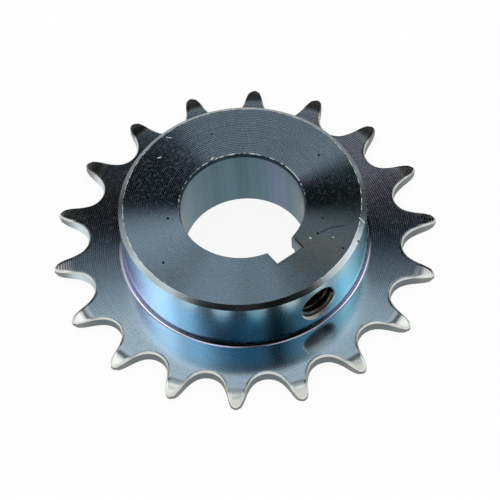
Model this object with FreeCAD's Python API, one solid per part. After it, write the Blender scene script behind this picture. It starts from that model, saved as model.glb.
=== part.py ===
"""Finished-bore chain sprocket with a hub on one side: a turned steel blank, 18 hobbed teeth for roller
chain of half-inch pitch, a broached keyway, and a set screw hole through the hub over the keyway.

Millimetres, +Z along the bore from the flat back face towards the hub's end face.
The origin is the centre of the bore in the back face. The keyway and the set screw hole point to -Y.
"""

import FreeCAD, Part

import math
import os

from FreeCAD import Vector

# Chain
chain_pitch = 12.7
roller_diameter = 7.92

# Teeth, in the standard form for roller chain: seat, working curve, straight and topping curve
tooth_count = 18
seat_clearance_share = 0.005  # of the roller's diameter, added to the seat's diameter
seat_clearance = 0.076  # also added to it
tip_height_share = 0.3  # of the pitch, from the pitch polygon out to the outside circle
tip_corner_cut = 0.45  # how far down the tooth each corner of the tip is cut back
tip_land_share = 0.3  # of the tooth's width between its cut corners, left on the outside circle
working_reach_share = 0.8  # of the roller's diameter, from the roller's centre to the working curve's
topping_reach_share = 1.4  # of the roller's diameter, from the roller's centre to the topping curve's

# Turns of those curves in degrees: a fixed part, and a part that is shared out over the teeth
seat_turn = 35
seat_turn_shared = 60
working_turn = 18
working_turn_shared = -56
topping_turn = 17
topping_turn_shared = -64

# Plate, with a curved relief on both sides of the teeth
plate_thickness = 2.7
relief_reach = 4.3  # from the outside circle in to the start of the relief
relief_width = 0.65  # what each side has lost at the outside circle
relief_radius = 24.0
rim_chamfer = 0.3  # on the rims of the teeth and gaps
rim_chamfer_limit = 0.18  # of the tooth's width between its cut corners

# Hub
hub_diameter = 50.8
length_through_bore = 16.0
hub_chamfer_width = 1.0
hub_chamfer_depth = 0.8
hub_base_fillet = 0.8

# Bore and keyway
bore_diameter = 25.4
bore_chamfer_width = 0.35
bore_chamfer_depth = 0.95
back_edge_break = 0.35
keyway_width = 6.35
keyway_depth = 3.3  # from the bore's wall to the keyway's floor, at the keyway's middle

# Set screw hole, at the thread's nominal diameter
screw_diameter = 7.94
screw_countersink = 0.6

overcut = 1.0  # how far a cutting body runs past the face that it opens

bore_radius = bore_diameter / 2
keyway_floor = bore_radius + keyway_depth
hub_radius = hub_diameter / 2
half_pitch_angle = math.pi / tooth_count
pitch_radius = chain_pitch / 2 / math.sin(half_pitch_angle)
tip_radius = chain_pitch / 2 / math.tan(half_pitch_angle) + tip_height_share * chain_pitch
seat_radius = ((1 + seat_clearance_share) * roller_diameter + seat_clearance) / 2
seat_end = -math.radians(seat_turn + seat_turn_shared / tooth_count)
working_end = seat_end + math.radians(working_turn + working_turn_shared / tooth_count)
tooth_middle = math.pi / 2 - half_pitch_angle
screw_height = (plate_thickness + length_through_bore) / 2  # half way up the hub

AXIS = Vector(0, 0, 1)
CENTRE = Vector(0, 0, 0)
ROLLER = Vector(0, pitch_radius, 0)


def on_circle(centre, radius, angle):
    """The point of a circle in the XY plane at an angle from +X."""
    return centre + Vector(radius * math.cos(angle), radius * math.sin(angle), 0)


def angle_of(point, centre):
    return math.atan2(point.y - centre.y, point.x - centre.x)


def arc(centre, radius, start, end):
    """The circular edge in the XY plane from one angle to another."""
    points = [on_circle(centre, radius, angle) for angle in (start, (start + end) / 2, end)]
    return Part.Arc(*points).toShape()


def crossing(centre, radius, other, other_radius):
    """Where two circles in the XY plane cross, on the left of the way from the first centre to the other."""
    ahead = other - centre
    distance = ahead.Length
    ahead.normalize()
    along = (distance**2 + radius**2 - other_radius**2) / (2 * distance)
    aside = math.sqrt(radius**2 - along**2)
    return centre + ahead * along + Vector(-ahead.y, ahead.x, 0) * aside


def flank():
    """The edges on the right of the gap that opens to +Y, from its seat outwards: a working curve, a short
    straight, and a topping curve up to the cut corner of the tip."""
    working_reach = working_reach_share * roller_diameter
    working_centre = on_circle(ROLLER, -working_reach, seat_end)
    working_radius = seat_radius + working_reach
    straight_start = on_circle(working_centre, working_radius, working_end)

    topping_reach = topping_reach_share * roller_diameter
    topping_centre = on_circle(ROLLER, topping_reach, -half_pitch_angle)
    topping_angle = math.radians(topping_turn + topping_turn_shared / tooth_count)
    straight = topping_reach * math.sin(topping_angle) - working_reach * math.sin(working_end - seat_end)
    straight_end = on_circle(straight_start, straight, working_end + math.pi / 2)
    topping_radius = (straight_end - topping_centre).Length
    topping_start = angle_of(straight_end, topping_centre)
    corner = crossing(CENTRE, tip_radius - tip_corner_cut, topping_centre, topping_radius)

    return [
        arc(working_centre, working_radius, seat_end, working_end),
        Part.LineSegment(straight_start, straight_end).toShape(),
        arc(topping_centre, topping_radius, topping_start, angle_of(corner, topping_centre)),
    ]


def tip_corner():
    """The cut corner of the tooth on the right of the gap that opens to +Y, and half the angle at the axis
    between that tooth's two corners."""
    topping_curve = flank()[-1]
    corner = topping_curve.valueAt(topping_curve.LastParameter)
    return corner, angle_of(corner, CENTRE) - tooth_middle


def tooth_gap():
    """The edges of the gap that opens to +Y, and of the tip land on its right."""
    corner, corner_turn = tip_corner()
    land_turn = tip_land_share * corner_turn
    land_start = on_circle(CENTRE, tip_radius, tooth_middle + land_turn)
    right_side = flank() + [Part.LineSegment(corner, land_start).toShape()]
    left_side = [edge.mirror(CENTRE, Vector(1, 0, 0)) for edge in right_side]
    seat = arc(ROLLER, seat_radius, -math.pi - seat_end, seat_end)
    land = arc(CENTRE, tip_radius, tooth_middle + land_turn, tooth_middle - land_turn)
    return left_side + [seat] + right_side + [land]


def tooth_outline():
    """The closed outline of all the teeth, with the middle of one tooth on -Y."""
    gap = tooth_gap()
    step = 360 / tooth_count
    edges = []
    for index in range(tooth_count):
        for edge in gap:
            copy = edge.copy()
            copy.rotate(CENTRE, AXIS, 180 + (index + 0.5) * step)
            edges.append(copy)
    return Part.Wire(Part.__sortEdges__(edges))


def turned_blank():
    """The blank as it leaves the lathe: plate, hub and bore in one section, turned about Z."""

    def point(radius, height):
        return Vector(radius, 0, height)

    relief_start = tip_radius - relief_reach
    chord = point(relief_reach, relief_width)
    to_centre = math.sqrt(relief_radius**2 - (chord.Length / 2) ** 2)
    relief_centre = point(relief_start, 0) + chord / 2 + point(-chord.z, chord.x).normalize() * to_centre

    def relief(radius):
        """The point of the back face's relief at a radius."""
        drop = math.sqrt(relief_radius**2 - (radius - relief_centre.x) ** 2)
        return point(radius, relief_centre.z - drop)

    back_relief = [relief(radius) for radius in (relief_start, tip_radius, tip_radius + overcut)]
    front_relief = [point(p.x, plate_thickness - p.z) for p in reversed(back_relief)]
    fillet_part = hub_base_fillet * (1 - math.sqrt(0.5))
    hub_fillet = [
        point(hub_radius + hub_base_fillet, plate_thickness),
        point(hub_radius + fillet_part, plate_thickness + fillet_part),
        point(hub_radius, plate_thickness + hub_base_fillet),
    ]
    hub_end = length_through_bore
    hub_and_bore = [
        hub_fillet[-1],
        point(hub_radius, hub_end - hub_chamfer_depth),
        point(hub_radius - hub_chamfer_width, hub_end),
        point(bore_radius + bore_chamfer_width, hub_end),
        point(bore_radius, hub_end - bore_chamfer_depth),
        point(bore_radius, back_edge_break),
        point(bore_radius + back_edge_break, 0),
        back_relief[0],
    ]
    section = [
        Part.Arc(*back_relief),
        Part.LineSegment(back_relief[-1], front_relief[0]),
        Part.Arc(*front_relief),
        Part.LineSegment(front_relief[-1], hub_fillet[0]),
        Part.Arc(*hub_fillet),
    ]
    section += [Part.LineSegment(*ends) for ends in zip(hub_and_bore, hub_and_bore[1:])]
    outline = Part.Wire([curve.toShape() for curve in section])
    return Part.Face(outline).revolve(CENTRE, AXIS, 360)


def toothed_blank():
    """The blank with its teeth cut, and the rims of the teeth and gaps chamfered on both sides."""
    outline = Part.Face(tooth_outline())
    outline.translate(AXIS * -overcut)
    teeth = outline.extrude(AXIS * (length_through_bore + 2 * overcut))
    body = turned_blank().common(teeth)
    tip_width = 2 * tip_corner()[1] * tip_radius
    chamfer = min(rim_chamfer, rim_chamfer_limit * tip_width)
    return body.makeChamfer(chamfer, [edge for edge in body.Edges if is_rim(edge)])


def is_rim(edge):
    """Whether an edge runs round a tooth or a gap in one of the plate's two sides."""
    start, middle, end = [(math.hypot(p.x, p.y), p.z) for p in edge.discretize(3)]
    in_the_gaps = min(start, middle, end)[0] > pitch_radius - seat_radius - rim_chamfer
    level = abs(end[1] - start[1]) < plate_thickness / 4
    turned = abs(start[0] - middle[0]) < tip_corner_cut / 10
    on_the_land = start[0] > tip_radius - tip_corner_cut / 2
    return in_the_gaps and level and (on_the_land or not turned)


def keyway():
    """The broached slot, open into the bore, with its floor square to -Y."""
    corner = Vector(-keyway_width / 2, -keyway_floor, -overcut)
    return Part.makeBox(keyway_width, keyway_floor, length_through_bore + 2 * overcut, corner)


def screw_hole():
    """The set screw hole, drilled through the hub into the keyway, with its countersunk mouth."""
    outwards = Vector(0, -1, 0)
    radius = screw_diameter / 2
    start = Vector(0, -bore_radius / 2, screw_height)
    hole = Part.makeCylinder(radius, hub_radius, start, outwards)
    mouth_depth = screw_countersink + overcut
    mouth_start = Vector(0, -(hub_radius - screw_countersink), screw_height)
    return hole.fuse(Part.makeCone(radius, radius + mouth_depth, mouth_depth, mouth_start, outwards))


def sprocket():
    return toothed_blank().cut(keyway()).cut(screw_hole())


def main():
    os.makedirs("parts", exist_ok=True)
    shape = sprocket()
    shape.exportStep("parts/sprocket.step")
    print("valid", shape.isValid(), "solids", len(shape.Solids), "faces", len(shape.Faces))
    print("volume", round(shape.Volume, 1), "outside diameter", round(2 * tip_radius, 2))


main()
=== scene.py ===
"""Looks of a plated steel chain sprocket with a hub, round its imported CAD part.

Metres, in the part's own frame: +Z along the bore towards the hub's end face, keyway and screw hole to -Y.
"""

import math

import bmesh
import bpy
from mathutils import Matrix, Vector


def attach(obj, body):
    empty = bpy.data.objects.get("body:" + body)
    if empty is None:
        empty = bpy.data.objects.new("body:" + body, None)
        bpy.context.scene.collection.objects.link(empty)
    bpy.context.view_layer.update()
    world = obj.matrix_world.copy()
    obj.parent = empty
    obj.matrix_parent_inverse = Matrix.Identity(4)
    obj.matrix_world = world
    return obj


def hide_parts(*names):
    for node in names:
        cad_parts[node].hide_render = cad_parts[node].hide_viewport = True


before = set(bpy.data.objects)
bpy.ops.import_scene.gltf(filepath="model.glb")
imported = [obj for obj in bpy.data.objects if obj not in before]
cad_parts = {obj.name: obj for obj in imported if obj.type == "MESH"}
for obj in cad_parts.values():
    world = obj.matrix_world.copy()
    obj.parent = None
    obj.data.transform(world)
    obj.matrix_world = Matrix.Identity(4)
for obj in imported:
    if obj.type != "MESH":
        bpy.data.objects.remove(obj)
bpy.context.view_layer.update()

MM = 0.001

# Sizes of the solid that the finishes follow
PLATE_THICKNESS = 2.7 * MM
HUB_RADIUS = 25.4 * MM
HUB_END = 16.0 * MM
HUB_CHAMFER_DEPTH = 0.8 * MM
HUB_BASE_FILLET = 0.8 * MM
BORE_RADIUS = 12.7 * MM
FACE_EDGE = 24.4 * MM  # radius at which the hub's end face meets its chamfer
BORE_EDGE = 13.05 * MM  # and where it meets the bore's
SCREW_RADIUS = 3.97 * MM
SCREW_HEIGHT = 9.35 * MM
TIP_RADIUS = 39.82 * MM
RELIEF_START = 35.52 * MM
RELIEF_WIDTH = 0.65 * MM
RELIEF_RADIUS = 24.0 * MM
GAP_BOTTOM_RADIUS = 32.5 * MM
TOOTH_STEP = math.radians(20)  # a gap opens at every multiple of this angle
PITCH_RADIUS = 36.568 * MM
SEAT_RADIUS = 4.018 * MM
FLANK_CENTRE_RADIUS = 36.323 * MM  # centre of a flank's upper arc: its distance from the axis
FLANK_CENTRE_TURN = math.radians(17.495)  # and its turn from the gap's middle
FLANK_RADIUS = 6.554 * MM

# The studio is laid out as the camera sees it, and then turned to the part by this angle
STUDIO_TURN = math.radians(-33.177)


def direction(azimuth, elevation=0.0):
    """The direction at an azimuth and elevation in degrees as the camera sees the studio: 0 is its right,
    90 is behind the part, 180 its left and 270 the camera's own side."""
    a, e = math.radians(azimuth) + STUDIO_TURN, math.radians(elevation)
    return Vector((math.cos(e) * math.cos(a), math.cos(e) * math.sin(a), math.sin(e)))


def rgb(red, green, blue):
    return (red, green, blue, 1.0)


# Node helpers

VALUE = "NodeSocketFloat"
COLOUR = "NodeSocketColor"
VECTOR = "NodeSocketVector"
NOISE_ROUGHNESS = 0.6


def add_node(tree, kind, inputs=(), **settings):
    """A new node, with its settings, and its inputs given in order by value or by the socket to link."""
    node = tree.nodes.new(kind)
    for name, value in settings.items():
        setattr(node, name, value)
    for socket, value in zip(node.inputs, inputs):
        if value is not None:
            fill(tree, socket, value)
    return node


def fill(tree, socket, value):
    """Link a socket to the value, where that is a socket too, or else set it."""
    if isinstance(value, bpy.types.NodeSocket):
        tree.links.new(value, socket)
    else:
        socket.default_value = value


def calc(tree, operation, *values, clamp=False):
    return add_node(tree, "ShaderNodeMath", values, operation=operation, use_clamp=clamp).outputs[0]


def vector_calc(tree, operation, *values):
    node = add_node(tree, "ShaderNodeVectorMath", values, operation=operation)
    return node.outputs["Value" if operation in ("DOT_PRODUCT", "LENGTH") else "Vector"]


def scaled(tree, vector, factor):
    node = add_node(tree, "ShaderNodeVectorMath", (vector,), operation="SCALE")
    fill(tree, node.inputs["Scale"], factor)
    return node.outputs["Vector"]


def split(tree, vector):
    return add_node(tree, "ShaderNodeSeparateXYZ", (vector,)).outputs


def ramp_up(tree, value, start, end, low=0.0, high=1.0):
    """Smoothly from low, where the value is at start or before, to high at end."""
    node = add_node(tree, "ShaderNodeMapRange", (value, start, end, low, high), interpolation_type="SMOOTHSTEP")
    return node.outputs[0]


def noise(tree, point, scale, detail=3.0):
    """Smooth random values round 0.5."""
    return add_node(tree, "ShaderNodeTexNoise", (point, None, scale, detail, NOISE_ROUGHNESS)).outputs[0]


def mix_colours(tree, mask, first, second, blend="MIX"):
    node = tree.nodes.new("ShaderNodeMix")
    node.data_type = "RGBA"
    node.blend_type = blend
    for name, value in (("Factor", mask), ("A", first), ("B", second)):
        fill(tree, next(s for s in node.inputs if s.name == name and s.enabled), value)
    return next(s for s in node.outputs if s.enabled)


def new_group(name, inputs, outputs):
    """A shader node group. Inputs are name: default value, and outputs are name: socket type."""
    tree = bpy.data.node_groups.new(name, "ShaderNodeTree")
    for label, value in inputs.items():
        kind = VALUE if isinstance(value, float) else COLOUR
        tree.interface.new_socket(label, in_out="INPUT", socket_type=kind).default_value = value
    for label, kind in outputs.items():
        tree.interface.new_socket(label, in_out="OUTPUT", socket_type=kind)
    return tree, tree.nodes.new("NodeGroupInput").outputs, tree.nodes.new("NodeGroupOutput").inputs


def place_group(tree, group, **values):
    node = tree.nodes.new("ShaderNodeGroup")
    node.node_tree = group
    for label, value in values.items():
        fill(tree, node.inputs[label], value)
    return node.outputs


def point_on_part(tree):
    return add_node(tree, "ShaderNodeTexCoord").outputs["Object"]


def off_axis(tree):
    """The way from the bore's axis to the point, square to the axis."""
    return vector_calc(tree, "MULTIPLY", point_on_part(tree), (1, 1, 0))


def along_the_lathe(tree):
    """The surface's normal, and the direction across the tool marks, which the marks spread light in."""
    normal = add_node(tree, "ShaderNodeNewGeometry").outputs["Normal"]
    around = vector_calc(tree, "NORMALIZE", vector_calc(tree, "CROSS_PRODUCT", (0, 0, 1), off_axis(tree)))
    return normal, vector_calc(tree, "NORMALIZE", vector_calc(tree, "CROSS_PRODUCT", around, normal))


# Shared effects


def place_round_the_axis():
    """Where a point is: the turn round the axis from 0 to 1, with its seam behind, how far behind it is from 0
    in front to 0.5, the radius, and the height."""
    tree, _, out = new_group(
        "place_round_the_axis", {}, {"Turn": VALUE, "Behind": VALUE, "Radius": VALUE, "Height": VALUE}
    )
    flat = off_axis(tree)
    ahead = vector_calc(tree, "DOT_PRODUCT", flat, direction(270))
    aside = vector_calc(tree, "DOT_PRODUCT", flat, direction(0))
    turn = calc(tree, "MULTIPLY_ADD", calc(tree, "ARCTAN2", aside, ahead), 0.5 / math.pi, 0.5)
    tree.links.new(turn, out["Turn"])
    tree.links.new(calc(tree, "ABSOLUTE", calc(tree, "SUBTRACT", turn, 0.5)), out["Behind"])
    tree.links.new(vector_calc(tree, "LENGTH", flat), out["Radius"])
    tree.links.new(split(tree, point_on_part(tree))["Z"], out["Height"])
    return tree


# Rings that the lathe's tool leaves
TEETH_START = 34.6 * MM  # from here out the rings fade and the plating turns grey
RINGS_FADE = 2.0 * MM  # how far that takes the rings
PLATING_FADE = 4.0 * MM  # and the plating
RING_UNEVENNESS = 1.2
RING_NOISE = (0.9, 2.0)  # its scale, for each turn of the tool, and its detail
GROOVE_EDGE = 4.0  # how sharply a groove begins
# How dark the grooves are painted, as shade in them:
GROOVE_SHADE = 5.5  # for each unit of the rings' slope

# Wear of the teeth's rims, which tilts their normals, and light and shade painted on them by the way they tilt.
# A place from front to back is the cosine of its angle to straight behind.
RIM_TILT = 0.36  # how far it tilts the normal at most
RIM_WIDTH = 0.8 * MM
TIP_WEAR = 5.0 * MM  # how far in it reaches from the outside circle
ON_TOOTH = (PITCH_RADIUS - 1.0 * MM, PITCH_RADIUS + 0.6 * MM)  # where the gap's seat gives way to the flanks
# These paint a rim pale as a highlight where it tilts towards the camera's side, black as shade where it tilts
# away behind, and the tips black as shade behind
HIGHLIGHT_AZIMUTH = 262  # the side that the palest rims are tilted to
RIM_HIGHLIGHT_TILT = (0.0, 0.34)  # the tilt to that side at which a rim starts to be pale and is palest
RIM_SHADE_TILT = (-0.04, -0.30)  # and the tilt away from it for black
RIM_SHADE_PLACE = (-0.5, 0.3, 0.3, 1.0)  # two places from front to back, and how black rims are there
TIP_SHADE_PLACE = (0.35, 0.75)  # the places from which the tips turn black and are black
TIP_SHADE_STRENGTH = 2.5  # for each unit of Rim Tilt


def turned_rings(tree, place, normal, spacing):
    """Which side of a ring a point is on, from about -1 to 1, and a mask of the grooves. The rings are counted
    out from the axis on a flat face, and along the axis on a wall."""
    facing = calc(tree, "ABSOLUTE", split(tree, normal)["Z"])
    sideways = calc(tree, "SQRT", calc(tree, "SUBTRACT", 1.0, calc(tree, "POWER", facing, 2.0), clamp=True))
    along_wall = calc(tree, "MULTIPLY", place["Height"], sideways)
    travel = calc(tree, "ADD", calc(tree, "MULTIPLY", place["Radius"], facing), along_wall)
    turns = calc(tree, "DIVIDE", travel, spacing)
    wave = calc(tree, "SINE", calc(tree, "MULTIPLY", turns, 2 * math.pi))
    wander = add_node(tree, "ShaderNodeTexNoise", (None, turns, *RING_NOISE), noise_dimensions="1D").outputs[0]
    uneven = calc(tree, "MULTIPLY", calc(tree, "SUBTRACT", wander, 0.5), RING_UNEVENNESS)
    side = calc(tree, "ADD", wave, uneven)
    return side, calc(tree, "MULTIPLY_ADD", side, GROOVE_EDGE, 0.5, clamp=True)


def on_the_axis_circle(tree, radius, angle):
    """The point at a radius and at an angle round the axis."""
    along = [calc(tree, "MULTIPLY", calc(tree, operation, angle), radius) for operation in ("COSINE", "SINE")]
    return add_node(tree, "ShaderNodeCombineXYZ", along).outputs[0]


def rim_wear(tree, flat, radius, on_tooth):
    """The way out over the nearest rims, which grows towards them. The rims are the gap's round seat, the upper
    arc of its flank, and the outside circle."""
    place = split(tree, flat)
    angle = calc(tree, "ARCTAN2", place["Y"], place["X"])
    gap_angle = calc(tree, "MULTIPLY", calc(tree, "ROUND", calc(tree, "DIVIDE", angle, TOOTH_STEP)), TOOTH_STEP)
    side = calc(tree, "SIGN", calc(tree, "SUBTRACT", angle, gap_angle))
    flank_angle = calc(tree, "MULTIPLY_ADD", side, FLANK_CENTRE_TURN, gap_angle)
    into_gap = vector_calc(tree, "SUBTRACT", on_the_axis_circle(tree, PITCH_RADIUS, gap_angle), flat)
    off_flank = vector_calc(tree, "SUBTRACT", flat, on_the_axis_circle(tree, FLANK_CENTRE_RADIUS, flank_angle))
    from_seat = calc(tree, "SUBTRACT", vector_calc(tree, "LENGTH", into_gap), SEAT_RADIUS)
    from_flank = calc(tree, "SUBTRACT", FLANK_RADIUS, vector_calc(tree, "LENGTH", off_flank))
    from_tip = calc(tree, "SUBTRACT", TIP_RADIUS, radius)
    near_seat = calc(
        tree, "MULTIPLY", ramp_up(tree, from_seat, RIM_WIDTH, 0.0), calc(tree, "SUBTRACT", 1.0, on_tooth)
    )
    near_flank = calc(tree, "MULTIPLY", ramp_up(tree, from_flank, RIM_WIDTH, 0.0), on_tooth)
    near_tip = ramp_up(tree, from_tip, TIP_WEAR, 0.0)
    wear = (0, 0, 0)
    for way, amount in ((into_gap, near_seat), (off_flank, near_flank), (flat, near_tip)):
        wear = vector_calc(tree, "ADD", wear, scaled(tree, vector_calc(tree, "NORMALIZE", way), amount))
    return wear


def worked_surface():
    """A surface as tools and wear leave it, with light and shade painted on it. Slope is how steep the lathe's
    rings are, and Lean is the tilt of the wider side of each ring. The rims of the teeth and gaps are worn
    round, up to Rim Tilt. Groove masks the rings' grooves, for shade painted in them. Bright masks the rims
    that are painted pale as a highlight where they tilt towards the camera's side. Dark masks those painted
    black as shade where they tilt away behind, and the tips behind."""
    tree, given, out = new_group(
        "worked_surface",
        {"Spacing": 0.5 * MM, "Slope": 0.0, "Lean": 0.0, "Rim Tilt": 0.0},
        {"Normal": VECTOR, "Groove": VALUE, "Bright": VALUE, "Dark": VALUE},
    )
    place = place_group(tree, PLACE)
    flat = off_axis(tree)
    normal, across = along_the_lathe(tree)

    side, groove = turned_rings(tree, place, normal, given["Spacing"])
    darkness = calc(tree, "MULTIPLY", given["Slope"], GROOVE_SHADE)
    tree.links.new(calc(tree, "MULTIPLY", groove, darkness, clamp=True), out["Groove"])
    before_teeth = ramp_up(tree, place["Radius"], TEETH_START, TEETH_START + RINGS_FADE, 1.0, 0.0)
    slope = calc(tree, "MULTIPLY_ADD", side, given["Slope"], given["Lean"])
    ringed = vector_calc(tree, "ADD", normal, scaled(tree, across, calc(tree, "MULTIPLY", slope, before_teeth)))

    on_tooth = ramp_up(tree, place["Radius"], *ON_TOOTH)
    wear = scaled(tree, rim_wear(tree, flat, place["Radius"], on_tooth), given["Rim Tilt"])
    tree.links.new(vector_calc(tree, "NORMALIZE", vector_calc(tree, "ADD", ringed, wear)), out["Normal"])

    # painted highlight on rims tilted towards the camera's side, and painted shade on rims tilted away behind
    # and on the tips behind
    toward_highlight = vector_calc(tree, "DOT_PRODUCT", wear, direction(HIGHLIGHT_AZIMUTH))
    tree.links.new(ramp_up(tree, toward_highlight, *RIM_HIGHLIGHT_TILT), out["Bright"])
    at_back = vector_calc(tree, "DOT_PRODUCT", vector_calc(tree, "NORMALIZE", flat), direction(90))
    painted_rim_shade = calc(
        tree, "MULTIPLY", ramp_up(tree, toward_highlight, *RIM_SHADE_TILT), ramp_up(tree, at_back, *RIM_SHADE_PLACE)
    )
    painted_tip_shade = calc(tree, "MULTIPLY", on_tooth, ramp_up(tree, at_back, *TIP_SHADE_PLACE, 0.0, given["Rim Tilt"]))
    painted_tip_shade = calc(tree, "MULTIPLY", painted_tip_shade, TIP_SHADE_STRENGTH, clamp=True)
    tree.links.new(calc(tree, "MAXIMUM", painted_rim_shade, painted_tip_shade), out["Dark"])
    return tree


CLOUD_SCALE = 90.0
STREAK_SCALE = 4.0  # over the direction from the axis, so that the streaks run along it


def plating():
    """Zinc under a thin passivation film, greyer towards the teeth. The tints of the film round the part also
    hold painted reflections and shade on some surfaces. Clouds and Streaks are how far the colour varies in
    soft clouds, and in streaks along the axis."""
    tree, given, out = new_group(
        "plating",
        {"Film": rgb(0.5, 0.6, 0.7), "Teeth": rgb(0.7, 0.7, 0.68), "Clouds": 0.2, "Streaks": 0.0},
        {"Color": COLOUR, "Cloud": VALUE},
    )
    place = place_group(tree, PLACE)
    toward_teeth = ramp_up(tree, place["Radius"], TEETH_START, TEETH_START + PLATING_FADE)
    colour = mix_colours(tree, toward_teeth, given["Film"], given["Teeth"])
    cloud = noise(tree, point_on_part(tree), CLOUD_SCALE, detail=4.0)
    streak = noise(tree, vector_calc(tree, "NORMALIZE", off_axis(tree)), STREAK_SCALE)
    level = calc(tree, "MULTIPLY_ADD", calc(tree, "SUBTRACT", cloud, 0.5), given["Clouds"], 1.0)
    level = calc(tree, "MULTIPLY_ADD", calc(tree, "SUBTRACT", streak, 0.5), given["Streaks"], level)
    tree.links.new(mix_colours(tree, 1.0, colour, level, "MULTIPLY"), out["Color"])
    tree.links.new(cloud, out["Cloud"])
    return tree


SPECK_SPACING = 0.6 * MM
SPECK_SHARE = 0.06  # of the places for a speck, how many have one
SPECK_EDGE = (0.22, 0.12)  # radii at which it ends and at which it is full, in shares of the spacing
BRIGHT_SPECK_SHIFT = (0.05, 0.05, 0.05)  # keeps the bright specks off the dark ones
DUST_SCALE = 1300.0
DUST_EDGE = (0.5, 0.68)


def specks():
    """Small pits and grains that catch on the plating, as masks of dark and of bright ones, and dull dust."""
    tree, _, out = new_group("specks", {}, {"Dark": VALUE, "Bright": VALUE, "Dust": VALUE})
    point = point_on_part(tree)
    tree.links.new(ramp_up(tree, noise(tree, point, DUST_SCALE), *DUST_EDGE), out["Dust"])
    for label, shift in (("Dark", (0, 0, 0)), ("Bright", BRIGHT_SPECK_SHIFT)):
        moved = vector_calc(tree, "ADD", point, shift)
        cells = add_node(tree, "ShaderNodeTexVoronoi", (moved, None, 1 / SPECK_SPACING)).outputs
        chosen = add_node(tree, "ShaderNodeSeparateColor", (cells["Color"],)).outputs[0]
        rare = calc(tree, "LESS_THAN", chosen, SPECK_SHARE)
        tree.links.new(calc(tree, "MULTIPLY", rare, ramp_up(tree, cells["Distance"], *SPECK_EDGE)), out[label])
    return tree


# Painted highlights on the hub's end, as broken bright lines along its edges: the radius and width of each
# line, and how far behind it starts and is full
EDGE_HIGHLIGHTS = ((FACE_EDGE, 0.08 * MM, 0.06, 0.14), (BORE_EDGE, 0.09 * MM, 0.2, 0.3))
EDGE_HIGHLIGHT_SCALE = 900.0
EDGE_HIGHLIGHT_BREAKS = (0.45, 0.58)
MARKS_ABOVE = (HUB_END - 1.2 * MM, HUB_END - 1.0 * MM)

# Other marks there, in millimetres: both ends of each, and its size
SCRATCHES = (
    ((-1.8, 23.6), (-1.1, 22.8), 0.12),
    ((-6.3, 20.4), (-5.7, 20.2), 0.15),
    ((1.9, 13.1), (2.7, 13.3), 0.15),
    ((16.6, -17.6), (17.0, -18.9), 0.15),
    ((5.8, -15.1), (5.9, -15.4), 0.15),
    ((9.5, -17.9), (9.6, -18.1), 0.13),
)
PITS = (
    ((-13.8, 6.9), (-13.7, 6.8), 0.35),
    ((19.8, 0.0), (19.9, 0.1), 0.35),
    ((-21.0, -1.3), (-20.9, -1.3), 0.35),
    ((13.2, -21.6), (13.2, -21.7), 0.3),
    ((6.0, 18.2), (6.0, 18.3), 0.25),
    ((9.4, -21.3), (9.4, -21.4), 0.3),
    ((10.8, -12.9), (10.8, -13.0), 0.25),
    ((7.7, -15.3), (7.8, -15.3), 0.35),
)
CRACKS_AND_SHADOW = (
    ((8.2, -15.4), (10.8, -15.9), 0.12),
    ((10.8, -15.9), (13.1, -17.2), 0.12),
    # Not a crack: a dark line along the keyway's edge, painted as shadow
    ((3.3, -13.4), (3.3, -16.1), 0.2),
)
STAINS = (
    ((-2.8, -16.2), (3.2, -16.2), 1.0),
    ((3.5, -18.0), (5.5, -20.0), 6.0),
)


def near_line(tree, flat, start, end, size):
    """A mask round the line between two places, in millimetres, full to half the size and gone at the size."""
    start = Vector((*start, 0)) * MM
    along = Vector((*end, 0)) * MM - start
    from_start = vector_calc(tree, "SUBTRACT", flat, start)
    share = vector_calc(tree, "DOT_PRODUCT", from_start, along / along.length_squared)
    nearest = scaled(tree, along, calc(tree, "ADD", share, 0.0, clamp=True))
    off = vector_calc(tree, "LENGTH", vector_calc(tree, "SUBTRACT", from_start, nearest))
    return ramp_up(tree, off, size * MM, size / 2 * MM)


def marks():
    """What is on the hub's end: broken bright lines along the edges of its face, which are painted highlights,
    bright scratches, dark pits and cracks, a dark line along the keyway's edge that is a painted shadow, and a
    stain beside the keyway."""
    tree, _, out = new_group("marks", {}, {"Bright": VALUE, "Dark": VALUE, "Stain": VALUE})
    place = place_group(tree, PLACE)
    flat = off_axis(tree)
    broken = ramp_up(tree, noise(tree, point_on_part(tree), EDGE_HIGHLIGHT_SCALE), *EDGE_HIGHLIGHT_BREAKS)
    # the painted highlights along the face's edges
    burrs = 0.0
    for edge, width, start, end in EDGE_HIGHLIGHTS:
        off = calc(tree, "ABSOLUTE", calc(tree, "SUBTRACT", place["Radius"], edge))
        line = ramp_up(tree, off, width, width / 2)
        line = calc(tree, "MULTIPLY", line, ramp_up(tree, place["Behind"], start, end))
        burrs = calc(tree, "MAXIMUM", burrs, calc(tree, "MULTIPLY", line, broken))
    on_hub_end = ramp_up(tree, place["Height"], *MARKS_ABOVE)
    kinds = (("Bright", burrs, SCRATCHES), ("Dark", 0.0, PITS + CRACKS_AND_SHADOW), ("Stain", 0.0, STAINS))
    for label, mask, lines in kinds:
        for line in lines:
            mask = calc(tree, "MAXIMUM", mask, near_line(tree, flat, *line))
        tree.links.new(calc(tree, "MULTIPLY", mask, on_hub_end), out[label])
    return tree


PLACE = place_round_the_axis()
WORKED_SURFACE = worked_surface()
PLATING = plating()
SPECKS = specks()
MARKS = marks()


# Materials

GREY_ZINC = rgb(0.84, 0.87, 0.86)
# The white of bright scratches, and of the highlights painted on rims and edges
HIGHLIGHT_AND_SCRATCH_WHITE = rgb(0.80, 0.83, 0.77)
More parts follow.
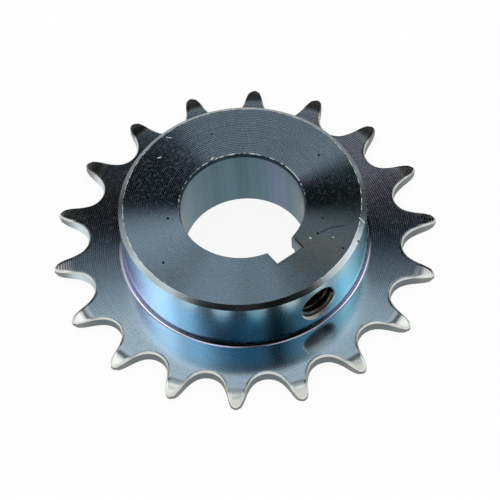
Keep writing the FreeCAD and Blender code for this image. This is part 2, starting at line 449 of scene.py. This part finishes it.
# The black of pits and cracks, and of the shade painted in the grooves, on rims and tips, and along the
# keyway's edge
DARK_GREY = rgb(0.03, 0.035, 0.04)
STAIN_BROWN = rgb(0.34, 0.35, 0.31)
STAIN_STRENGTH = 0.4
PALE_MARK_DULLNESS = 0.8  # how far a place painted pale, as a scratch and as a highlight, is from metal
CLOUD_ROUGHNESS = 0.1
SPECK_ROUGHNESS = 0.2


def tint_round(tree, stops):
    """A tint that changes round the part. The stops are (azimuth in degrees, tint), from behind at 90 on, and
    after the last one it goes back to the first one's tint."""
    stops = stops + ((450, stops[0][1]),)
    node = add_node(tree, "ShaderNodeValToRGB", (place_group(tree, PLACE)["Turn"],))
    elements = node.color_ramp.elements
    while len(elements) < len(stops):
        elements.new(0.5)
    for element, (azimuth, colour) in zip(elements, stops):
        element.position = (azimuth - 90) / 360
        element.color = colour
    return node.outputs[0]


def steel_material(
    name,
    film,
    roughness,
    surface,
    stretch=0.0,
    teeth=GREY_ZINC,
    top=None,
    front=None,
    dust=0.0,
    clouds=0.2,
    streaks=0.0,
):
    """Plated steel. The film holds the stops of tint_round, and top another film with the heights between which
    that takes over. Teeth is the colour that the film fades to from the teeth's feet out. The surface holds
    inputs of worked_surface, and front the values that differ where the part faces the camera, with how far
    behind they start and stop changing. Stretch is how far the tool marks spread the gloss, and dust, clouds
    and streaks are how strong those are."""
    material = bpy.data.materials.new(name)
    material.use_nodes = True
    tree = material.node_tree
    shader = tree.nodes["Principled BSDF"]
    shader.inputs["Anisotropic"].default_value = stretch
    tree.links.new(along_the_lathe(tree)[1], shader.inputs["Tangent"])
    place = place_group(tree, PLACE)

    values = {"Roughness": roughness, "Dust": dust, **surface}
    if front:
        start, end = front["from"]
        for label in ("Roughness", "Dust", "Slope", "Lean"):
            values[label] = ramp_up(tree, place["Behind"], start, end, front[label], values[label])
    roughness, dust = values.pop("Roughness"), values.pop("Dust")
    worked = place_group(tree, WORKED_SURFACE, **values)
    tree.links.new(worked["Normal"], shader.inputs["Normal"])

    film = tint_round(tree, film)
    if top:
        top_film, start, end = top
        film = mix_colours(tree, ramp_up(tree, place["Height"], start, end), film, tint_round(tree, top_film))
    tint = place_group(tree, PLATING, Film=film, Teeth=teeth, Clouds=clouds, Streaks=streaks)
    dots = place_group(tree, SPECKS)
    left = place_group(tree, MARKS)
    # Pale: painted highlights on rims and edges, and bright scratches. Dark: painted shade on rims, tips and
    # along the keyway's edge, and pits and cracks.
    bright = calc(tree, "MAXIMUM", worked["Bright"], left["Bright"])
    dark = calc(tree, "MAXIMUM", calc(tree, "MAXIMUM", worked["Dark"], dots["Dark"]), left["Dark"])
    # shade painted in the rings' grooves
    colour = mix_colours(tree, worked["Groove"], tint["Color"], DARK_GREY)
    colour = mix_colours(tree, calc(tree, "MULTIPLY", left["Stain"], STAIN_STRENGTH), colour, STAIN_BROWN)
    colour = mix_colours(tree, bright, colour, HIGHLIGHT_AND_SCRATCH_WHITE)
    colour = mix_colours(tree, dark, colour, DARK_GREY)
    tree.links.new(colour, shader.inputs["Base Color"])

    metal = calc(tree, "SUBTRACT", 1.0, calc(tree, "MULTIPLY", dots["Dust"], dust))
    metal = calc(tree, "MULTIPLY_ADD", bright, -PALE_MARK_DULLNESS, metal)
    tree.links.new(metal, shader.inputs["Metallic"])
    evenly = calc(tree, "SUBTRACT", roughness, CLOUD_ROUGHNESS / 2)
    rough = calc(tree, "MULTIPLY_ADD", tint["Cloud"], CLOUD_ROUGHNESS, evenly)
    rough = calc(tree, "MULTIPLY_ADD", dots["Bright"], SPECK_ROUGHNESS, rough)
    tree.links.new(rough, shader.inputs["Roughness"])
    return material


# Tints of the film
STEEL_BLUE = rgb(0.40, 0.56, 0.70)
SHADED_STEEL = rgb(0.24, 0.32, 0.36)
PLUM_STEEL = rgb(0.48, 0.47, 0.58)
BROWN_STEEL = rgb(0.18, 0.17, 0.16)
WEDGE_SHADE_GREY = rgb(0.25, 0.27, 0.30)
SKY_BLUE = rgb(0.62, 0.83, 1.0)
PERIWINKLE = rgb(0.65, 0.86, 1.0)
PURPLE = rgb(0.63, 0.53, 0.97)
VIOLET = rgb(0.60, 0.68, 0.92)
LILAC = rgb(0.82, 0.80, 1.0)
LAVENDER_SHEEN = rgb(0.16, 0.20, 0.31)
NAVY = rgb(0.15, 0.58, 0.97)
TEAL = rgb(0.35, 0.75, 0.84)
PALE_TEAL = rgb(0.32, 0.95, 0.96)
SLATE = rgb(0.15, 0.33, 0.43)
BORE_BLUE = rgb(0.10, 0.17, 0.21)
PALE_GREY = rgb(0.56, 0.72, 0.76)
PALE_ZINC = rgb(0.70, 0.82, 0.88)
DARK_ZINC = rgb(0.16, 0.19, 0.20)
FILLET_SHADE_BLACK = rgb(0.03, 0.04, 0.05)
# Pale for worn edges, and as the highlight painted along the rims and in the countersink
WORN_AND_HIGHLIGHT_ZINC = rgb(0.80, 0.80, 0.74)
HOBBED_GREY = rgb(0.24, 0.25, 0.25)

# Films: the tint behind the part, and then the azimuths in degrees at which the film has another. Besides the
# film's own colour, several paint reflections and shade by which side faces the camera.
# Darker from the front right round to the right: painted shade for a dark reflection there
HUB_FACE_TINT_AND_SHADE = ((90, STEEL_BLUE), (285, STEEL_BLUE), (325, SHADED_STEEL), (365, SHADED_STEEL), (390, STEEL_BLUE))
# Paler towards the camera's side as a painted reflection, with a dark wedge at the back left painted as the
# reflection of a dark surround
PLATE_TINT_AND_REFLECTION = (
    (90, STEEL_BLUE),
    (158, WEDGE_SHADE_GREY),
    (176, STEEL_BLUE),
    (195, STEEL_BLUE),
    (215, PERIWINKLE),
    (325, SKY_BLUE),
    (350, STEEL_BLUE),
    (380, PLUM_STEEL),
)
WALL_FILM = (
    (90, PALE_GREY),
    (200, PURPLE),
    (222, SKY_BLUE),
    (264, NAVY),
    (322, TEAL),
    (345, PALE_TEAL),
    (375, PALE_GREY),
)
# darker at the front of the wall's top
WALL_TOP_TINT = ((90, PALE_GREY), (226, SKY_BLUE), (270, SLATE), (298, PALE_GREY))
# Dark behind and on the left, pale in front and on the right: painted reflection
CHAMFER_TINT_AND_REFLECTION = ((90, DARK_ZINC), (165, DARK_ZINC), (205, PALE_ZINC), (365, PALE_ZINC), (380, DARK_ZINC))
FILLET_FILM = ((90, LILAC),)
# Black along the top of the hub's foot in front: painted shade
FILLET_TOP_TINT_AND_SHADE = ((90, VIOLET), (238, VIOLET), (252, FILLET_SHADE_BLACK), (295, FILLET_SHADE_BLACK), (312, VIOLET))
# Pale on the left as a painted reflection of the white surround, dark elsewhere
GAP_TINT_AND_REFLECTION = ((90, DARK_ZINC), (140, PALE_ZINC), (185, PALE_ZINC), (205, DARK_ZINC))
# pale as wear, and as a highlight painted along the rims
RIM_TINT_AND_HIGHLIGHT = ((90, WORN_AND_HIGHLIGHT_ZINC),)
# A lavender patch at the back right: painted reflection
BORE_TINT_AND_SHEEN = ((90, BORE_BLUE), (398, BORE_BLUE), (412, LAVENDER_SHEEN), (426, BORE_BLUE))
THREAD_FILM = ((90, BROWN_STEEL),)

# Surfaces: how the tools have left them, and what differs in front
SMOOTH = {"Slope": 0.0}
WORN_RIM = {"Slope": 0.0, "Rim Tilt": RIM_TILT}
FINE_RINGS = {"Spacing": 0.3 * MM, "Slope": 0.01}
HUB_RINGS = {"Spacing": 0.43 * MM, "Slope": 0.11, "Lean": 0.17}
HUB_FRONT = {"from": (0.16, 0.42), "Slope": 0.03, "Lean": 0.12, "Roughness": 0.2, "Dust": 0.05}
PLATE_RINGS = {"Spacing": 0.43 * MM, "Slope": 0.12, "Lean": 0.14, "Rim Tilt": RIM_TILT}
PLATE_FRONT = {"from": (0.18, 0.25), "Slope": 0.022, "Lean": 0.03, "Roughness": 0.11, "Dust": 0.0}
WALL_TOP = (WALL_TOP_TINT, 9.5 * MM, 14.5 * MM)
FILLET_TOP = (FILLET_TOP_TINT_AND_SHADE, 2.78 * MM, 2.86 * MM)
DUST = 0.09

FINISHES = {
    "hub_face": steel_material(
        "faced_steel", HUB_FACE_TINT_AND_SHADE, 0.20, HUB_RINGS, stretch=0.95, front=HUB_FRONT, dust=DUST
    ),
    "plate": steel_material(
        "turned_steel", PLATE_TINT_AND_REFLECTION, 0.24, PLATE_RINGS, stretch=0.95, front=PLATE_FRONT, dust=DUST
    ),
    "hub_wall": steel_material(
        "turned_hub_steel", WALL_FILM, 0.19, FINE_RINGS, stretch=0.5, top=WALL_TOP, clouds=0.12, streaks=0.15
    ),
    "chamfer": steel_material("chamfer_steel", CHAMFER_TINT_AND_REFLECTION, 0.20, SMOOTH),
    "fillet": steel_material("fillet_steel", FILLET_FILM, 0.11, SMOOTH, top=FILLET_TOP),
    "gap": steel_material("hobbed_steel", GAP_TINT_AND_REFLECTION, 0.50, SMOOTH, teeth=HOBBED_GREY),
    "rim": steel_material("rim_steel", RIM_TINT_AND_HIGHLIGHT, 0.45, WORN_RIM, teeth=WORN_AND_HIGHLIGHT_ZINC),
    "bore": steel_material("bored_steel", BORE_TINT_AND_SHEEN, 0.35, FINE_RINGS, stretch=0.5, streaks=0.9),
}
FINISH_ORDER = list(FINISHES)
THREAD_FINISH = steel_material("threaded_steel", THREAD_FILM, 0.40, SMOOTH)

# Which finish each surface of the solid has
FINISH_OF = {
    "hub_face": "hub_face",
    "hub_chamfer": "chamfer",
    "hub_wall": "hub_wall",
    "fillet": "fillet",
    "plate": "plate",
    "relief": "plate",
    "rim": "rim",
    "flank": "gap",
    "bore": "bore",
    "bore_chamfer": "bore",
    "countersink": "rim",
    "cut": "bore",
}


# The wheel: the solid's own form, welded, with smooth normals on its round surfaces and soft rims

MERGE_DISTANCE = 0.002 * MM
ON_SURFACE = 0.05 * MM  # how near to a round surface the middle of its faces is
CHAMFER_REACH = 0.4 * MM  # how far a small chamfer reaches from its edge
COUNTERSINK_REACH = 1.0 * MM
STEEPEST_RELIEF = 20  # degrees

# Limits for the part of a face's normal that is along the axis, or out from it
FLAT = 0.99995
LEANING = 0.5
SLANTED = 0.1
UPRIGHT = 0.05
ROUND = 0.9

SMOOTH_ANGLE = 0.6  # radians up to which faces of a cut share a normal
FILLET_BEND = 0.9  # below 1, the hub's foot bends faster than a round where it leaves the plate
RELIEF_EASE = 2.0 * MM  # how far out the relief's start is worn round


def polar(point):
    return math.hypot(point.x, point.y)


def outwardness(face):
    """How far a face turns away from the axis, from -1 to 1."""
    centre = face.calc_center_median()
    return (face.normal.x * centre.x + face.normal.y * centre.y) / polar(centre)


def relief_centre():
    """Radius and height of the centre of the back face's relief arc."""
    reach = TIP_RADIUS - RELIEF_START
    half_chord = math.hypot(reach, RELIEF_WIDTH) / 2
    to_centre = math.sqrt(RELIEF_RADIUS**2 - half_chord**2)
    aside = Vector((-RELIEF_WIDTH, reach)).normalized() * to_centre
    return Vector((RELIEF_START + reach / 2, RELIEF_WIDTH / 2)) + aside


RELIEF_CENTRE = relief_centre()


def surface_of(face):
    """Which of the part's surfaces a face of the solid lies on."""
    centre = face.calc_center_median()
    radius, height = polar(centre), centre.z
    outward = outwardness(face)
    if abs(face.normal.z) > FLAT:
        return "hub_face" if height > PLATE_THICKNESS * 2 else "plate"
    if radius > GAP_BOTTOM_RADIUS - CHAMFER_REACH:
        if abs(face.normal.z) < UPRIGHT:
            return "flank"
        slope = math.degrees(math.acos(min(1.0, abs(face.normal.z))))
        on_relief = slope < STEEPEST_RELIEF and outward > 0 and radius > RELIEF_START - 2 * ON_SURFACE
        return "relief" if on_relief else "rim"
    if radius > HUB_RADIUS and height < PLATE_THICKNESS + HUB_BASE_FILLET and outward > 0:
        return "fillet"
    if abs(radius - HUB_RADIUS) < ON_SURFACE and outward > ROUND:
        return "hub_wall"
    if radius > FACE_EDGE and height > HUB_END - HUB_CHAMFER_DEPTH and face.normal.z > LEANING:
        return "hub_chamfer"
    off_screw = math.hypot(centre.x, height - SCREW_HEIGHT)
    if centre.y < COUNTERSINK_REACH - HUB_RADIUS and off_screw > SCREW_RADIUS + ON_SURFACE:
        return "countersink"
    if abs(radius - BORE_RADIUS) < ON_SURFACE and outward < -ROUND:
        return "bore"
    if radius < BORE_RADIUS + CHAMFER_REACH and abs(face.normal.z) > SLANTED:
        return "bore_chamfer"
    return "cut"


def true_normal(surface, face, point):
    """The normal of the round or flat surface itself at a point, or None where the mesh has to say."""
    radius = polar(point)
    outward = Vector((point.x, point.y, 0)) / radius
    if surface in ("hub_face", "plate"):
        return Vector((0, 0, math.copysign(1, face.normal.z)))
    if surface == "hub_wall":
        return outward
    if surface == "bore":
        return -outward
    if surface in ("hub_chamfer", "bore_chamfer"):
        return (outward * outwardness(face) + Vector((0, 0, face.normal.z))).normalized()
    if surface == "fillet":
        across = max(0.0, HUB_RADIUS + HUB_BASE_FILLET - radius)
        tilt = math.atan2(across, PLATE_THICKNESS + HUB_BASE_FILLET - point.z)
        tilt = math.pi / 2 * (tilt / (math.pi / 2)) ** FILLET_BEND
        return outward * math.sin(tilt) + Vector((0, 0, math.cos(tilt)))
    if surface == "relief":
        front = face.normal.z > 0
        height = PLATE_THICKNESS - point.z if front else point.z
        eased = min(1.0, max(0.0, radius - RELIEF_START) / RELIEF_EASE)
        across = (radius - RELIEF_CENTRE.x) * eased
        rise = RELIEF_CENTRE.y - height
        return (outward * across + Vector((0, 0, rise if front else -rise))).normalized()
    return None


def corner_normal(surfaces, face, vert):
    """The normal of a face at one of its corners."""
    surface = surfaces[face.index]
    around = [(surfaces[f.index], f) for f in vert.link_faces]
    if surface == "rim":
        sides = [side for side in around if side[0] in ("plate", "relief")]
        if sides:
            return true_normal(*sides[0], vert.co)
    normal = true_normal(surface, face, vert.co)
    if normal is not None:
        return normal
    if surface in ("flank", "rim"):
        near = [f for other, f in around if other == "flank"]
    else:
        near = [f for other, f in around if other == surface and f.normal.angle(face.normal) < SMOOTH_ANGLE]
    return sum((f.normal * f.calc_area() for f in near or [face]), Vector((0, 0, 0))).normalized()


def build_wheel():
    """The wheel in place of the solid, with a finish for each of its surfaces."""
    bm = bmesh.new()
    bm.from_mesh(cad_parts["sprocket"].data)
    bmesh.ops.remove_doubles(bm, verts=bm.verts, dist=MERGE_DISTANCE)
    bm.normal_update()
    bm.faces.index_update()
    surfaces = [surface_of(face) for face in bm.faces]
    for face, surface in zip(bm.faces, surfaces):
        face.material_index = FINISH_ORDER.index(FINISH_OF[surface])
        face.smooth = True
    for edge in bm.edges:
        edge.smooth = True
    normals = [corner_normal(surfaces, face, loop.vert) for face in bm.faces for loop in face.loops]
    mesh = bpy.data.meshes.new("toothed_wheel")
    bm.to_mesh(mesh)
    bm.free()
    for name in FINISH_ORDER:
        mesh.materials.append(FINISHES[name])
    for attribute in ("custom_normal", "sharp_edge", "sharp_face"):
        if attribute in mesh.attributes:
            mesh.attributes.remove(mesh.attributes[attribute])
    mesh.normals_split_custom_set(normals)
    wheel = bpy.data.objects.new("toothed_wheel", mesh)
    bpy.context.scene.collection.objects.link(wheel)
    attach(wheel, "root")
    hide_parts("sprocket")


# The set screw hole's thread

THREAD_PITCH = 1.41 * MM
THREAD_HEIGHT = 0.66 * MM
THREAD_SINK = 0.02 * MM  # how far its foot lies in the hole's wall
THREAD_FOOT_SHARE = 0.92  # of the pitch
THREAD_CREST_SHARE = 0.14
THREAD_START = 24.5 * MM
THREAD_END = 16.3 * MM
THREAD_STEPS = 48


def build_thread():
    """A helical ridge on the hole's wall, from the countersink down to the keyway."""
    bm = bmesh.new()
    turns = (THREAD_START - THREAD_END) / THREAD_PITCH
    steps = int(turns * THREAD_STEPS)
    foot, crest = SCREW_RADIUS + THREAD_SINK, SCREW_RADIUS - THREAD_HEIGHT
    half_foot, half_crest = THREAD_PITCH * THREAD_FOOT_SHARE / 2, THREAD_PITCH * THREAD_CREST_SHARE / 2
    section = [(foot, -half_foot), (crest, -half_crest), (crest, half_crest), (foot, half_foot)]
    verts = [bm.verts.new((reach, -THREAD_START + along, 0)) for reach, along in section]
    profile = [bm.edges.new(pair) for pair in zip(verts, verts[1:] + verts[:1])]
    bmesh.ops.spin(
        bm,
        geom=profile + verts,
        cent=(0, 0, 0),
        axis=(0, 1, 0),
        dvec=(0, (THREAD_START - THREAD_END) / steps, 0),
        angle=turns * 2 * math.pi,
        steps=steps,
        use_merge=False,
        use_normal_flip=False,
        use_duplicate=False,
    )
    bmesh.ops.holes_fill(bm, edges=[e for e in bm.edges if e.is_boundary], sides=4)
    bmesh.ops.translate(bm, verts=bm.verts, vec=(0, 0, SCREW_HEIGHT))
    bmesh.ops.recalc_face_normals(bm, faces=bm.faces)
    mesh = bpy.data.meshes.new("screw_thread")
    bm.to_mesh(mesh)
    bm.free()
    mesh.shade_smooth()
    mesh.materials.append(THREAD_FINISH)
    thread = bpy.data.objects.new("screw_thread", mesh)
    bpy.context.scene.collection.objects.link(thread)
    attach(thread, "root")


# Studio

FLOOR_RADIUS = 6.0
FLOOR_DROP = 0.02 * MM  # keeps it off the part's back face
FLOOR_WHITENESS = 0.9  # how much of what the camera and the gloss see of it is plain white
PAPER = rgb(0.98, 0.98, 0.98)
PAPER_ROUGHNESS = 0.9
WHITE = rgb(1.0, 1.0, 1.0)
TENT_RADIUS = 1.2
TENT_FOOT = 0.03
TENT_LEVEL = 0.0

# Lights and dark panels on the tent: azimuth and elevation, where the patch is full and where it ends, all in
# degrees, and its brightness. A later one covers those before it.
PATCHES = (
    (176, 38, 10, 34, 1.38),
    (4, 41, 3, 31, 1.13),
    (238, 49, 17, 24, 1.18),
    (255, 31, 25, 43, 0.00),
    (111, 79, 9, 14, 0.30),
    (89, 31, 21, 40, 1.36),
    (85.5, 9, 47.5, 53, 0.00),
    (83, 36, 12, 15, 0.94),
    (84, 39, 6, 15, 0.30),
    (190, 77, 5, 12, 0.90),
    (350, 77, 5, 12, 0.90),
    (336, 62, 7, 21, 0.31),
    (158, 18, 6, 24, 0.48),
    (194, 20, 4, 22, 0.31),
    (270, 60, 3, 12, 0.18),
)

# Where the photograph was taken from
CAMERA_PLACE = (-0.22853, -0.34954, 0.60651)
CAMERA_TURN = (34.4428, 2.6847, -37.2029)
CAMERA_LENS = 255.4
CAMERA_SENSOR = 36.0
CAMERA_CLIP = 0.01


def white_floor_material():
    """White paper with the part's shadow on it, which the camera and the gloss see nearly white."""
    material = bpy.data.materials.new("white_paper")
    material.use_nodes = True
    tree = material.node_tree
    paper = tree.nodes["Principled BSDF"]
    paper.inputs["Base Color"].default_value = PAPER
    paper.inputs["Roughness"].default_value = PAPER_ROUGHNESS
    paper.inputs["Specular IOR Level"].default_value = 0.0
    paths = add_node(tree, "ShaderNodeLightPath").outputs
    seen = calc(tree, "ADD", paths["Is Camera Ray"], paths["Is Glossy Ray"])
    seen = calc(tree, "ADD", seen, paths["Is Transmission Ray"], clamp=True)
    white = add_node(tree, "ShaderNodeEmission", (WHITE, 1.0)).outputs[0]
    whiteness = calc(tree, "MULTIPLY", seen, FLOOR_WHITENESS)
    both = add_node(tree, "ShaderNodeMixShader", (whiteness, paper.outputs[0], white))
    tree.links.new(both.outputs[0], tree.nodes["Material Output"].inputs["Surface"])
    return material


def build_floor():
    bm = bmesh.new()
    bmesh.ops.create_circle(bm, cap_ends=True, radius=FLOOR_RADIUS, segments=96)
    mesh = bpy.data.meshes.new("floor")
    bm.to_mesh(mesh)
    bm.free()
    mesh.materials.append(white_floor_material())
    floor = bpy.data.objects.new("floor", mesh)
    floor.location.z = -FLOOR_DROP
    bpy.context.scene.collection.objects.link(floor)


def tent_material():
    """A black that glows only where its patches are."""
    material = bpy.data.materials.new("studio_tent")
    material.use_nodes = True
    tree = material.node_tree
    tree.nodes.clear()
    aim = vector_calc(tree, "NORMALIZE", point_on_part(tree))
    level = TENT_LEVEL
    for azimuth, elevation, inner, outer, value in PATCHES:
        nearness = vector_calc(tree, "DOT_PRODUCT", aim, direction(azimuth, elevation))
        mask = ramp_up(tree, nearness, math.cos(math.radians(outer)), math.cos(math.radians(inner)))
        change = calc(tree, "SUBTRACT", value, level)
        level = calc(tree, "MULTIPLY_ADD", mask, change, level)
    light = add_node(tree, "ShaderNodeEmission", (WHITE, level))
    output = tree.nodes.new("ShaderNodeOutputMaterial")
    tree.links.new(light.outputs[0], output.inputs[0])
    return material


def build_tent():
    """A tent round the part that only its gloss sees, open at the floor."""
    bm = bmesh.new()
    bmesh.ops.create_uvsphere(bm, u_segments=64, v_segments=32, radius=TENT_RADIUS)
    sphere = bm.verts[:] + bm.edges[:] + bm.faces[:]
    bmesh.ops.bisect_plane(bm, geom=sphere, plane_co=(0, 0, TENT_FOOT), plane_no=(0, 0, 1), clear_inner=True)
    bmesh.ops.reverse_faces(bm, faces=bm.faces)
    mesh = bpy.data.meshes.new("studio_tent")
    bm.to_mesh(mesh)
    bm.free()
    mesh.shade_smooth()
    mesh.materials.append(tent_material())
    tent = bpy.data.objects.new("studio_tent", mesh)
    bpy.context.scene.collection.objects.link(tent)
    tent.visible_camera = False
    tent.visible_diffuse = False
    tent.visible_transmission = False
    tent.visible_shadow = False


def build_world():
    world = bpy.data.worlds.new("white_studio")
    bpy.context.scene.world = world
    world.use_nodes = True
    background = world.node_tree.nodes["Background"]
    background.inputs["Color"].default_value = WHITE
    background.inputs["Strength"].default_value = 1.0


def build_camera():
    data = bpy.data.cameras.new("camera")
    data.sensor_width = CAMERA_SENSOR
    data.lens = CAMERA_LENS
    data.clip_start = CAMERA_CLIP
    camera = bpy.data.objects.new("camera", data)
    camera.location = CAMERA_PLACE
    camera.rotation_euler = [math.radians(angle) for angle in CAMERA_TURN]
    bpy.context.scene.collection.objects.link(camera)
    bpy.context.scene.camera = camera


build_camera()
build_wheel()
build_thread()
build_floor()
build_tent()
build_world()

bpy.context.scene.view_settings.view_transform = "Standard"
